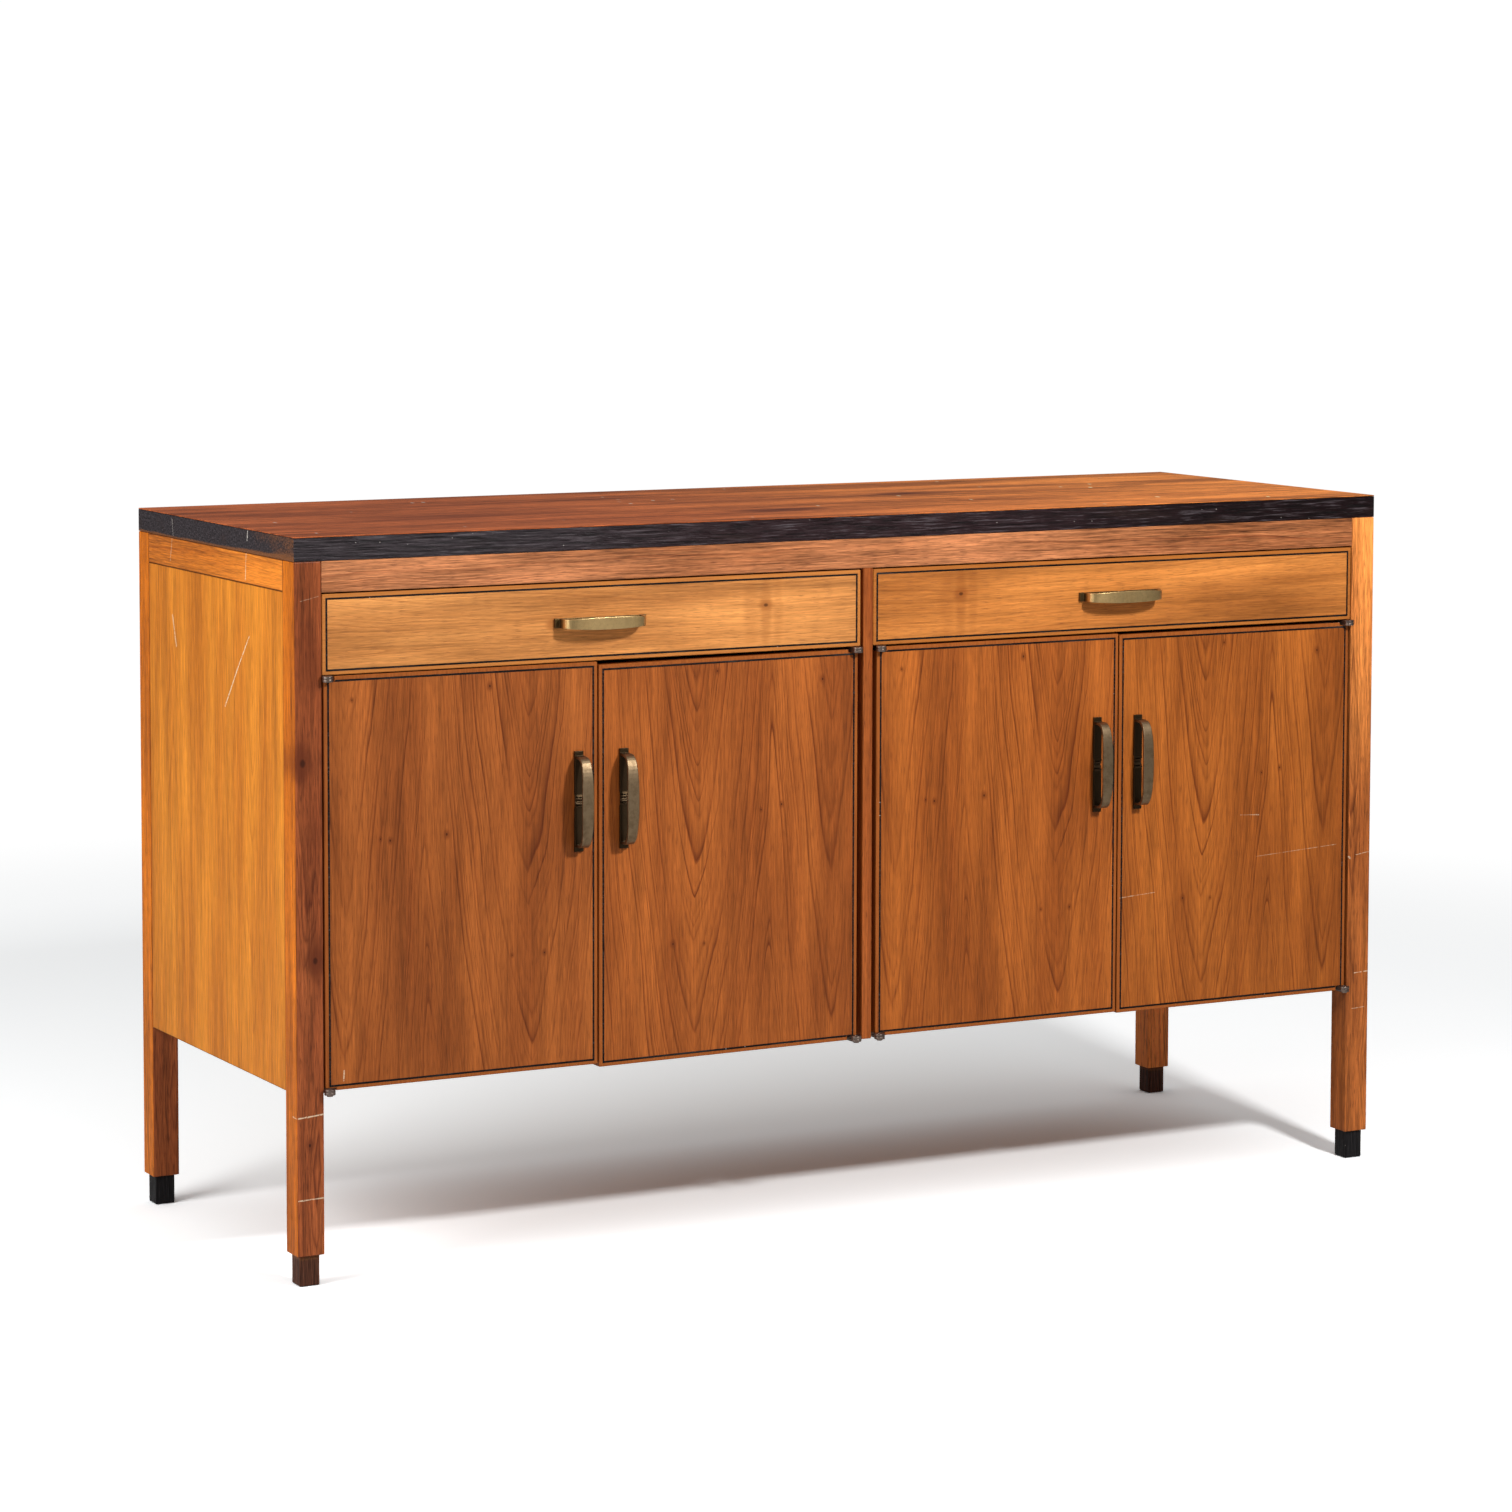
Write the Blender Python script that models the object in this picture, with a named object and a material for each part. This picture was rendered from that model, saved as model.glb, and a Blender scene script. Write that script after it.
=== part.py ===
"""Walnut sideboard buffet on four corner posts, with two drawers over four doors.

Lengths are in metres. Pieces are laid out in the cabinet's own layout frame: x from the left
post's outer face, y back from the front face, z up from the floor. to_world() turns that frame
into the model's, whose origin is on the floor at the middle of the whole object's box.
"""

import math

import bmesh
import bpy
from mathutils import Vector

# Overall size
WIDTH = 1.510
DEPTH = 0.505
HEIGHT = 0.872
PULL_REACH = 0.028
GAP = 0.0003
FRONT_Y = -(DEPTH - PULL_REACH) / 2

# Top slab: a core and an ebonized edge band under one sheet of veneer
SLAB = 0.0285
VENEER = 0.0012
VENEER_EASE = 0.0004
BAND = 0.007
BAND_EASE = 0.0006

# Posts and feet
POST = 0.034
POST_EASE = 0.0012
FOOT_HEIGHT = 0.036
FOOT_INSET = 0.0045
FOOT_EASE = 0.0014

# Carcass boards
RAIL_HEIGHT = 0.0366
RAIL_THICK = 0.022
BOARD_EASE = 0.0005
SIDE_RAIL_THICK = 0.020
PANEL = 0.018
PANEL_RECESS = 0.0006
SIDE_BOTTOM = 0.2255
STILE_BOTTOM = 0.2245
STILE_LEFT = 0.7485
STILE_WIDTH = 0.013
FLOOR_BOTTOM = 0.2275
DECK_BOTTOM = 0.7113
DECK = 0.013
BOARD_FRONT = 0.0225
BOARD_BACK = 0.480
BACK_THICK = 0.008
SHELF_BOTTOM = 0.456
SHELF_FRONT = 0.045
SHELF_BACK = 0.470
SHELF_CLEARANCE = 0.001
SHELF_EASE = 0.0008

# Fronts
FRONT_THICK = 0.019
FRONT_RECESS = 0.0005
FRONT_EASE = 0.0007
DRAWER_SPANS = ((0.0349, 0.7443), (0.7622, 1.4743))
DRAWER_BOTTOM = 0.7115
DRAWER_TOP = 0.8050
DOOR_SPANS = ((0.0365, 0.3864), (0.3886, 0.7408), (0.7677, 1.1180), (1.1199, 1.4718))
DOOR_BOTTOM = 0.2275
DOOR_TOP = 0.7100
# How far each door hangs below its true height, and how much lower still its free edge is.
DOOR_DROPS = (0.0, 0.0022, 0.0010, 0.0026)
DOOR_SAGS = (0.0, 0.0020, 0.0, 0.0)

# Drawer boxes
BOX_SIDE = 0.012
BOX_INSET = 0.002
BOX_TOP = 0.797
BOX_BACK = 0.440
BOX_BOTTOM = 0.006
BOX_BACK_DROP = 0.004
GROOVE_DEPTH = 0.005
GROOVE_LIFT = 0.007

# Knife hinges
PIVOT_INSET = 0.003
PIVOT_FORWARD = 0.0045
KNUCKLE = 0.0065
LEAF = 0.0032
LEAF_LENGTH = 0.050
LEAF_WIDTH = 0.012
LEAF_CORNER = 0.003
NECK_OUTER = 0.0022
DOOR_ARM_Y = 0.0115
FRAME_ARM_Y = 0.029
NOTCH_WIDTH = 0.0105
NOTCH_FRONT = 0.002
NOTCH_CLEARANCE = 0.002
NOTCH_LIP = 0.0105
CUT_BEYOND = 0.006
CUT_RISE = 0.010
PIN = 0.0022
PIN_HOLE = 0.0025
PIN_HEAD = 0.0036
PIN_HEAD_HEIGHT = 0.0018
TOP_LEAF_Z = DECK_BOTTOM - GAP - LEAF
BOTTOM_LEAF_Z = FLOOR_BOTTOM - GAP - LEAF

# Pulls
PULL_LENGTH = 0.120
BOW_LENGTH = 0.109
STRAP = 0.003
STRAP_WIDTH = 0.011
BOW_WIDTH = 0.0148
BOW_STEPS = 26
LENGTH_POWER = 3.0
REACH_POWER = 5.0
FLARE_START = 0.0057
BOW_UNDERSIDE = 0.00375
STRAP_GAP = 0.010
# The lip at a strap's inner end: its underside, its crest, and how far its slopes run back.
LIP_UNDER = 0.0022
LIP_CREST = 0.0046
LIP_SLOPE = 0.003
LIP_UNDERCUT = 0.004
LIP_EDGE = 0.0005
DOOR_PULL_Z = 0.545
DOOR_PULL_INSETS = (0.0255, 0.0320, 0.0315, 0.0270)


def clear_scene():
    for obj in list(bpy.data.objects):
        bpy.data.objects.remove(obj, do_unlink=True)


def to_world(x, y, z):
    return Vector((x - WIDTH / 2, y + FRONT_Y, z))


def make_material(name, colour, roughness, metallic=0.0):
    material = bpy.data.materials.new(name)
    material.use_nodes = True
    shader = material.node_tree.nodes["Principled BSDF"]
    shader.inputs["Base Color"].default_value = (*colour, 1.0)
    shader.inputs["Roughness"].default_value = roughness
    shader.inputs["Metallic"].default_value = metallic
    return material


def make_axis(name, x, y, z):
    """An empty that stands on a joint's axis and carries the pieces that move on it."""
    axis = bpy.data.objects.new(name, None)
    axis.location = to_world(x, y, z)
    bpy.context.collection.objects.link(axis)
    return axis


def add_object(name, shape, centre, material, carrier=None):
    """Makes an object of a bmesh whose points are relative to centre, a place in the world."""
    bmesh.ops.recalc_face_normals(shape, faces=shape.faces)
    mesh = bpy.data.meshes.new(name)
    shape.to_mesh(mesh)
    shape.free()
    if material:
        mesh.materials.append(material)
    obj = bpy.data.objects.new(name, mesh)
    obj.location = centre - carrier.location if carrier else centre
    obj.parent = carrier
    bpy.context.collection.objects.link(obj)
    return obj


def soften_edges(obj, width, segments=2):
    bevel = obj.modifiers.new("eased_edges", "BEVEL")
    bevel.width = width
    bevel.segments = segments
    bevel.limit_method = "ANGLE"
    bevel.angle_limit = math.radians(40)


def add_board(name, low, high, material, carrier=None, ease=0.0, segments=1):
    """A rectangular board between two opposite corners of the layout frame."""
    low = to_world(*low)
    high = to_world(*high)
    shape = bmesh.new()
    bmesh.ops.create_cube(shape, size=1.0)
    bmesh.ops.scale(shape, vec=high - low, verts=shape.verts)
    board = add_object(name, shape, (low + high) / 2, material, carrier)
    if ease:
        soften_edges(board, ease, segments)
    return board


def add_prism(name, outline, place, across, along, rise, material, carrier=None):
    """Extrudes a closed outline. across and along are the outline's axes, rise is the extrusion."""
    shape = bmesh.new()
    points = [shape.verts.new(across * u + along * v) for u, v in outline]
    base = shape.faces.new(points)
    grown = bmesh.ops.extrude_face_region(shape, geom=[base])
    moved = [item for item in grown["geom"] if isinstance(item, bmesh.types.BMVert)]
    bmesh.ops.translate(shape, verts=moved, vec=rise)
    return add_object(name, shape, place, material, carrier)


def add_plate(name, outline, low_z, thickness, origin, material, carrier=None):
    """A flat plate: an XY outline about origin, a point of the layout frame, and a thickness."""
    place = to_world(origin[0], origin[1], low_z)
    rise = Vector((0, 0, thickness))
    return add_prism(name, outline, place, Vector((1, 0, 0)), Vector((0, 1, 0)), rise, material, carrier)


def add_rod(name, radii, origin, material=None, sides=20):
    """A stepped round rod: radii lists (radius, low z, high z), joined end to end."""
    shape = bmesh.new()
    rings = []
    for radius, low, high in radii:
        for z in (low, high):
            ring = []
            for step in range(sides):
                angle = math.tau * step / sides
                ring.append(shape.verts.new((radius * math.cos(angle), radius * math.sin(angle), z)))
            rings.append(ring)
    for lower, upper in zip(rings, rings[1:]):
        for step in range(sides):
            after = (step + 1) % sides
            shape.faces.new((lower[step], lower[after], upper[after], upper[step]))
    shape.faces.new(rings[0])
    shape.faces.new(rings[-1])
    return add_object(name, shape, to_world(origin[0], origin[1], 0), material)


def make_helper(obj, carrier=None):
    """A cutter or a piece to be joined: kept out of the model itself."""
    obj.hide_render = True
    obj.display_type = "WIRE"
    if carrier:
        obj.location = obj.location - carrier.location
        obj.parent = carrier
    return obj


def add_boolean(obj, helper, operation):
    boolean = obj.modifiers.new(helper.name, "BOOLEAN")
    boolean.operation = operation
    boolean.object = helper
    boolean.solver = "EXACT"


def build_top(finishes):
    slab_bottom = HEIGHT - SLAB
    core_top = HEIGHT - VENEER - GAP
    low = (BAND + GAP, BAND + GAP, slab_bottom)
    high = (WIDTH - BAND - GAP, DEPTH, core_top)
    add_board("top_core", low, high, finishes["panel"])
    low = (0, 0, HEIGHT - VENEER)
    high = (WIDTH, DEPTH, HEIGHT)
    add_board("top_veneer", low, high, finishes["top"], None, VENEER_EASE)
    outline = [(0, 0), (WIDTH, 0), (WIDTH, DEPTH), (WIDTH - BAND, DEPTH)]
    outline += [(WIDTH - BAND, BAND), (BAND, BAND), (BAND, DEPTH), (0, DEPTH)]
    rise = core_top - slab_bottom
    band = add_plate("top_edge_band", outline, slab_bottom, rise, (0, 0), finishes["ebony"])
    soften_edges(band, BAND_EASE, 1)


def build_posts(finishes):
    """Four square posts, each standing on a smaller foot block."""
    post_top = HEIGHT - SLAB - GAP
    for depth_name, y in (("front", 0), ("rear", DEPTH - POST)):
        for side_name, x in (("left", 0), ("right", WIDTH - POST)):
            low = (x, y, FOOT_HEIGHT)
            high = (x + POST, y + POST, post_top)
            name = f"{depth_name}_{side_name}"
            add_board(name + "_post", low, high, finishes["frame"], None, POST_EASE, 2)
            low = (x + FOOT_INSET, y + FOOT_INSET, 0)
            high = (x + POST - FOOT_INSET, y + POST - FOOT_INSET, FOOT_HEIGHT - GAP)
            add_board(name + "_foot", low, high, finishes["ebony"], None, FOOT_EASE, 2)


def build_sides(finishes):
    """On each end, a top rail over a tall panel, both between the posts."""
    front = POST + GAP
    back = DEPTH - POST - GAP
    rail_top = HEIGHT - SLAB - GAP
    rail_bottom = HEIGHT - SLAB - RAIL_HEIGHT
    for side_name, outer, inward in (("left", 0, 1), ("right", WIDTH, -1)):
        faces = sorted((outer + inward * GAP, outer + inward * SIDE_RAIL_THICK))
        low = (faces[0], front, rail_bottom + GAP)
        high = (faces[1], back, rail_top)
        add_board(side_name + "_side_rail", low, high, finishes["frame"], None, BOARD_EASE)
        faces = sorted((outer + inward * PANEL_RECESS, outer + inward * (PANEL_RECESS + PANEL)))
        low = (faces[0], front, SIDE_BOTTOM)
        high = (faces[1], back, rail_bottom)
        add_board(side_name + "_side_panel", low, high, finishes["panel"], None, BOARD_EASE)


def board_outline(left, right, notch_left, notch_right):
    """A board's outline between left and right, with corners cut out round the posts."""
    front, back = BOARD_FRONT, BOARD_BACK
    inner = POST + GAP
    rear = DEPTH - POST - GAP
    outline = []
    if notch_left:
        outline += [(left, rear), (left, inner), (inner, inner), (inner, front)]
    else:
        outline += [(left, back), (left, front)]
    if notch_right:
        edge = WIDTH - inner
        outline += [(edge, front), (edge, inner), (right, inner), (right, rear), (edge, rear), (edge, back)]
    else:
        outline += [(right, front), (right, back)]
    if notch_left:
        outline += [(inner, back), (inner, rear)]
    return outline


def build_carcass(finishes):
    rail_bottom = HEIGHT - SLAB - RAIL_HEIGHT
    board_top = HEIGHT - SLAB - GAP
    inner = POST + GAP
    low = (inner, GAP, rail_bottom)
    high = (WIDTH - inner, RAIL_THICK, board_top)
    add_board("front_top_rail", low, high, finishes["frame"], None, BOARD_EASE)

    stile_right = STILE_LEFT + STILE_WIDTH
    low = (STILE_LEFT, GAP, STILE_BOTTOM)
    high = (stile_right, RAIL_THICK, rail_bottom - GAP)
    add_board("centre_stile", low, high, finishes["frame"], None, BOARD_EASE)
    low = (STILE_LEFT, BOARD_FRONT, FLOOR_BOTTOM + PANEL + GAP)
    high = (stile_right, BOARD_BACK, board_top)
    add_board("centre_partition", low, high, finishes["panel"])

    side_face = PANEL + PANEL_RECESS + GAP
    outline = board_outline(side_face, WIDTH - side_face, True, True)
    add_plate("bottom_panel", outline, FLOOR_BOTTOM, PANEL, (0, 0), finishes["panel"])
    outline = board_outline(side_face, STILE_LEFT - GAP, True, False)
    add_plate("left_drawer_deck", outline, DECK_BOTTOM, DECK, (0, 0), finishes["inside"])
    outline = board_outline(stile_right + GAP, WIDTH - side_face, False, True)
    add_plate("right_drawer_deck", outline, DECK_BOTTOM, DECK, (0, 0), finishes["inside"])

    low = (inner, BOARD_BACK + GAP, FLOOR_BOTTOM)
    high = (WIDTH - inner, BOARD_BACK + GAP + BACK_THICK, board_top)
    add_board("back_panel", low, high, finishes["back"])

    side_wall = PANEL + PANEL_RECESS
    bays = (("left", side_wall, STILE_LEFT), ("right", stile_right, WIDTH - side_wall))
    for side_name, left, right in bays:
        low = (left + SHELF_CLEARANCE, SHELF_FRONT, SHELF_BOTTOM)
        high = (right - SHELF_CLEARANCE, SHELF_BACK, SHELF_BOTTOM + PANEL)
        add_board(side_name + "_shelf", low, high, finishes["panel"], None, SHELF_EASE)


def superellipse(half_length, reach, low):
    """Points of the bow's curve from its right end to its left, standing above the strap."""
    points = []
    for step in range(BOW_STEPS + 1):
        angle = math.pi * step / BOW_STEPS
        along = abs(math.cos(angle)) ** (2 / LENGTH_POWER) * half_length
        out = abs(math.sin(angle)) ** (2 / REACH_POWER) * reach
        points.append((math.copysign(along, math.cos(angle)), max(out, low)))
    return points


def pull_outline():
    """The pull's side view as runs of points: strap ends, the bow's outer and inner curves."""
    foot = PULL_LENGTH / 2
    outer = superellipse(BOW_LENGTH / 2, PULL_REACH, STRAP)
    inner = superellipse(BOW_LENGTH / 2 - STRAP, PULL_REACH - STRAP, BOW_UNDERSIDE)
    end = STRAP_GAP / 2
    lip = [(end + LIP_SLOPE, STRAP), (end, LIP_CREST), (end + LIP_EDGE, LIP_UNDER), (end + LIP_UNDERCUT, 0)]
    right_strap = lip + [(foot, 0), (foot, STRAP)]
    left_strap = [(-u, v) for u, v in right_strap[::-1]]
    return right_strap, outer, left_strap, inner[::-1]


def cap_faces(points, runs):
    """One cap of the pull: each strap's section as one face, and the bow's as a row of quads."""
    starts = [0]
    for run in runs:
        starts.append(starts[-1] + len(run))
    right, outer, left, inner = (points[a:b] for a, b in zip(starts, starts[1:]))
    inner = inner[::-1]
    faces = [right + [outer[0], inner[0]], left + [inner[-1], outer[-1]]]
    for step in range(len(outer) - 1):
        faces.append([outer[step], outer[step + 1], inner[step + 1], inner[step]])
    return faces


def pull_half_width(along, out):
    """The bow is widest at its middle, and the straps keep one width."""
    if out <= FLARE_START:
        return STRAP_WIDTH / 2
    bulge = (out / PULL_REACH) ** 2 * max(0.0, 1 - (along / (BOW_LENGTH / 2)) ** 2)
    return (STRAP_WIDTH + (BOW_WIDTH - STRAP_WIDTH) * bulge) / 2


def add_pull(name, x, z, upright, material, carrier):
    """upright is true for a door's pull, and false for a drawer's, which lies along x."""
    along = Vector((0, 0, 1)) if upright else Vector((1, 0, 0))
    across = Vector((1, 0, 0)) if upright else Vector((0, 0, 1))
    out = Vector((0, -1, 0))
    scale = (PULL_REACH + FRONT_RECESS - GAP) / PULL_REACH
    runs = pull_outline()
    outline = [point for run in runs for point in run]
    shape = bmesh.new()
    near = []
    far = []
    for u, v in outline:
        half = pull_half_width(u, v)
        middle = along * u + out * v * scale
        near.append(shape.verts.new(middle - across * half))
        far.append(shape.verts.new(middle + across * half))
    for face in cap_faces(near, runs) + cap_faces(far, runs):
        shape.faces.new(face)
    count = len(outline)
    for step in range(count):
        after = (step + 1) % count
        shape.faces.new((near[step], near[after], far[after], far[step]))
    place = to_world(x, FRONT_RECESS - GAP, z)
    pull = add_object(name, shape, place, material, carrier)
    pull.data.shade_smooth()
    pull.data.set_sharp_from_angle(angle=math.radians(35))
    return pull


def build_drawer(name, span, finishes):
    left, right = span
    middle = (left + right) / 2
    slide = make_axis(name + "_slide", middle, 0, (DRAWER_BOTTOM + DRAWER_TOP) / 2)
    face = FRONT_RECESS
    back_of_front = face + FRONT_THICK
    low = (left, face, DRAWER_BOTTOM)
    high = (right, back_of_front, DRAWER_TOP)
    add_board(name + "_front", low, high, finishes["front"], slide, FRONT_EASE)

    box_low = DECK_BOTTOM + DECK + GAP
    box_front = back_of_front + GAP
    groove_low = box_low + GROOVE_LIFT
    groove_high = groove_low + BOX_BOTTOM + 2 * GAP
    inner = BOX_SIDE - GROOVE_DEPTH
    # A side's section, from its outer face inwards, with the groove that holds the bottom.
    section = [(0, 0), (BOX_SIDE, 0), (BOX_SIDE, groove_low - box_low), (inner, groove_low - box_low)]
    section += [(inner, groove_high - box_low), (BOX_SIDE, groove_high - box_low)]
    section += [(BOX_SIDE, BOX_TOP - box_low), (0, BOX_TOP - box_low)]
    run = Vector((0, BOX_BACK - box_front, 0))
    for side_name, outer, inward in (("left", left + BOX_INSET, 1), ("right", right - BOX_INSET, -1)):
        place = to_world(outer, box_front, box_low)
        across = Vector((inward, 0, 0))
        up = Vector((0, 0, 1))
        add_prism(f"{name}_{side_name}_side", section, place, across, up, run, finishes["inside"], slide)

    inside_left = left + BOX_INSET + BOX_SIDE + GAP
    inside_right = right - BOX_INSET - BOX_SIDE - GAP
    low = (inside_left, BOX_BACK - BOX_SIDE, groove_high)
    high = (inside_right, BOX_BACK, BOX_TOP - BOX_BACK_DROP)
    add_board(name + "_back", low, high, finishes["inside"], slide)
    low = (inside_left - GROOVE_DEPTH + GAP, box_front, groove_low + GAP)
    high = (inside_right + GROOVE_DEPTH - GAP, BOX_BACK, groove_low + GAP + BOX_BOTTOM)
    add_board(name + "_bottom", low, high, finishes["inside"], slide)
    add_pull(name + "_pull", middle, (DRAWER_BOTTOM + DRAWER_TOP) / 2, False, finishes["brass"], slide)


def knuckle_arc(start, end, steps):
    """Points of the knuckle's rim between two angles in degrees."""
    points = []
    for step in range(steps + 1):
        angle = math.radians(start + (end - start) * step / steps)
        points.append((KNUCKLE * math.cos(angle), KNUCKLE * math.sin(angle)))
    return points


def leaf_outline(arm_y, hand):
    """A leaf seen from above: a round knuckle, a neck going back, and an arm for the screws."""
    meet = 180 - math.degrees(math.acos(NECK_OUTER / KNUCKLE))
    outline = knuckle_arc(meet, 360, 18)
    arm_back = arm_y + LEAF_WIDTH
    corner = LEAF_LENGTH - LEAF_CORNER
    outline += [(KNUCKLE, arm_y), (corner, arm_y), (LEAF_LENGTH, arm_y + LEAF_CORNER)]
    outline += [(LEAF_LENGTH, arm_back - LEAF_CORNER), (corner, arm_back), (-NECK_OUTER, arm_back)]
    return [(hand * u, v) for u, v in outline]


def notch_outline(hand):
    """The cut in a door's corner: right through beside the pivot, then a mortise for the arm."""
    beyond = -CUT_BEYOND
    back = PIVOT_FORWARD + FRONT_THICK + CUT_BEYOND
    end = LEAF_LENGTH + NOTCH_CLEARANCE
    outline = [(beyond, NOTCH_FRONT), (NOTCH_WIDTH, NOTCH_FRONT), (NOTCH_WIDTH, NOTCH_LIP)]
    outline += [(end, NOTCH_LIP), (end, back), (beyond, back)]
    return [(hand * u, v) for u, v in outline]


def add_hinge(name, pivot_x, hand, upper, door, axis, brass):
    """One knife hinge: the frame's leaf carries the pin, and the door's leaf turns on it."""
    origin = (pivot_x, -PIVOT_FORWARD)
    frame_z = TOP_LEAF_Z if upper else BOTTOM_LEAF_Z
    door_z = frame_z - GAP - LEAF if upper else frame_z + GAP + LEAF
    outline = leaf_outline(FRAME_ARM_Y, hand)
    frame_leaf = add_plate(name + "_frame_leaf", outline, frame_z, LEAF, origin, brass)
    outline = leaf_outline(DOOR_ARM_Y, hand)
    door_leaf = add_plate(name + "_door_leaf", outline, door_z, LEAF, origin, brass, axis)

    middle = frame_z + LEAF / 2
    if upper:
        steps = [(PIN, door_z + GAP, middle)]
    else:
        steps = [(PIN_HEAD, frame_z - PIN_HEAD_HEIGHT, middle), (PIN, middle, door_z + LEAF - GAP)]
    pin = make_helper(add_rod(name + "_pin", steps, origin))
    add_boolean(frame_leaf, pin, "UNION")
    hole = add_rod(name + "_pin_hole", [(PIN_HOLE, door_z - LEAF, door_z + 2 * LEAF)], origin)
    add_boolean(door_leaf, make_helper(hole, axis), "DIFFERENCE")

    low = door_z - GAP if upper else DOOR_BOTTOM - CUT_RISE
    high = DOOR_TOP + CUT_RISE if upper else door_z + LEAF + GAP
    notch = add_plate(name + "_notch", notch_outline(hand), low, high - low, origin, None, axis)
    add_boolean(door, make_helper(notch), "DIFFERENCE")


def build_door(number, finishes):
    """Doors count from the left. Odd ones hang on their left edge, even ones on their right."""
    name = f"door_{number}"
    left, right = DOOR_SPANS[number - 1]
    drop = DOOR_DROPS[number - 1]
    sag = DOOR_SAGS[number - 1]
    hand = 1 if number % 2 else -1
    hinge_edge = left if hand == 1 else right
    free_edge = right if hand == 1 else left
    pivot_x = hinge_edge + hand * PIVOT_INSET
    axis = make_axis(name + "_axis", pivot_x, -PIVOT_FORWARD, (DOOR_BOTTOM + DOOR_TOP) / 2)

    low = (left, FRONT_RECESS, DOOR_BOTTOM - drop)
    high = (right, FRONT_RECESS + FRONT_THICK, DOOR_TOP - drop)
    door = add_board(name, low, high, finishes["door"], axis)
    for point in door.data.vertices:
        if hand * point.co.x > 0:
            point.co.z -= sag
    soften_edges(door, FRONT_EASE, 1)
    add_hinge(name + "_top", pivot_x, hand, True, door, axis, finishes["brass"])
    add_hinge(name + "_bottom", pivot_x, hand, False, door, axis, finishes["brass"])
    pull_x = free_edge - hand * DOOR_PULL_INSETS[number - 1]
    add_pull(name + "_pull", pull_x, DOOR_PULL_Z, True, finishes["brass"], axis)


def main():
    clear_scene()
    finishes = {
        "top": make_material("walnut_top", (0.20, 0.075, 0.045), 0.35),
        "ebony": make_material("ebonized_wood", (0.022, 0.018, 0.020), 0.55),
        "frame": make_material("walnut_frame", (0.36, 0.15, 0.055), 0.45),
        "panel": make_material("walnut_panel", (0.44, 0.20, 0.07), 0.45),
        "front": make_material("walnut_drawer_front", (0.52, 0.26, 0.10), 0.4),
        "door": make_material("walnut_door", (0.36, 0.13, 0.045), 0.4),
        "inside": make_material("maple_inside", (0.62, 0.45, 0.27), 0.6),
        "back": make_material("back_plywood", (0.40, 0.25, 0.13), 0.75),
        "brass": make_material("aged_brass", (0.38, 0.31, 0.17), 0.35, 1.0),
    }
    build_top(finishes)
    build_posts(finishes)
    build_sides(finishes)
    build_carcass(finishes)
    build_drawer("left_drawer", DRAWER_SPANS[0], finishes)
    build_drawer("right_drawer", DRAWER_SPANS[1], finishes)
    for number in range(1, len(DOOR_SPANS) + 1):
        build_door(number, finishes)


main()
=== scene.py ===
import math

import bmesh
import bpy
from mathutils import Matrix, Vector


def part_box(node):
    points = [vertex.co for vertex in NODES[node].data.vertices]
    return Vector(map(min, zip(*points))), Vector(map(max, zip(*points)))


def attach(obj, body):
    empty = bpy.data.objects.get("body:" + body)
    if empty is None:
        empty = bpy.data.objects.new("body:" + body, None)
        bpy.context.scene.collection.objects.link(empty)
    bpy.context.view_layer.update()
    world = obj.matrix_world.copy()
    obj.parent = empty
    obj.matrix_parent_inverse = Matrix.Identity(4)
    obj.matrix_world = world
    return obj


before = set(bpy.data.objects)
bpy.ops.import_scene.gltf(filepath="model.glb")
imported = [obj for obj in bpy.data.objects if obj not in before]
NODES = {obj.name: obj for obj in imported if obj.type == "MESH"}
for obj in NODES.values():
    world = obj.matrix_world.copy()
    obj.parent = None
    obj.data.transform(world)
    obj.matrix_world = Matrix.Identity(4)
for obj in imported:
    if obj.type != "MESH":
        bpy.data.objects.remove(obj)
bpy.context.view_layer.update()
CORNERS = ("front_left", "front_right", "rear_left", "rear_right")

# Sizes of the added trim, in metres. A string steps round the notch that each hinge takes out of its door.
STRING_INSET = 0.0043
STRING_WIDTH = 0.0023
STRING_PROUD = 0.00015
STRING_DEEP = 0.0005
NOTCH_TOP = 0.7038
NOTCH_BOTTOM = 0.2312
NOTCH_REACH = 0.0140
# How far the free edge of door 2 hangs below its hinged edge.
DOOR_2_SAG = 0.0020
PULL_SCREW_REACH = 0.046
BACK_SCREW_INSET = 0.012
# Points round a screw head or a peg.
HEAD_SIDES = 14

# Camera, worked out from the object's own corners.
CAMERA_PLACE = Vector((-2.6999, -4.9983, 1.2904))
CAMERA_YAW = math.radians(28.122)
CAMERA_PITCH = math.radians(-4.560)
CAMERA_ROLL = math.radians(0.121)
CAMERA_LENS = 107.02
CAMERA_SHIFT = -0.15


# ---------------------------------------------------------------- shader graphs

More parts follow.
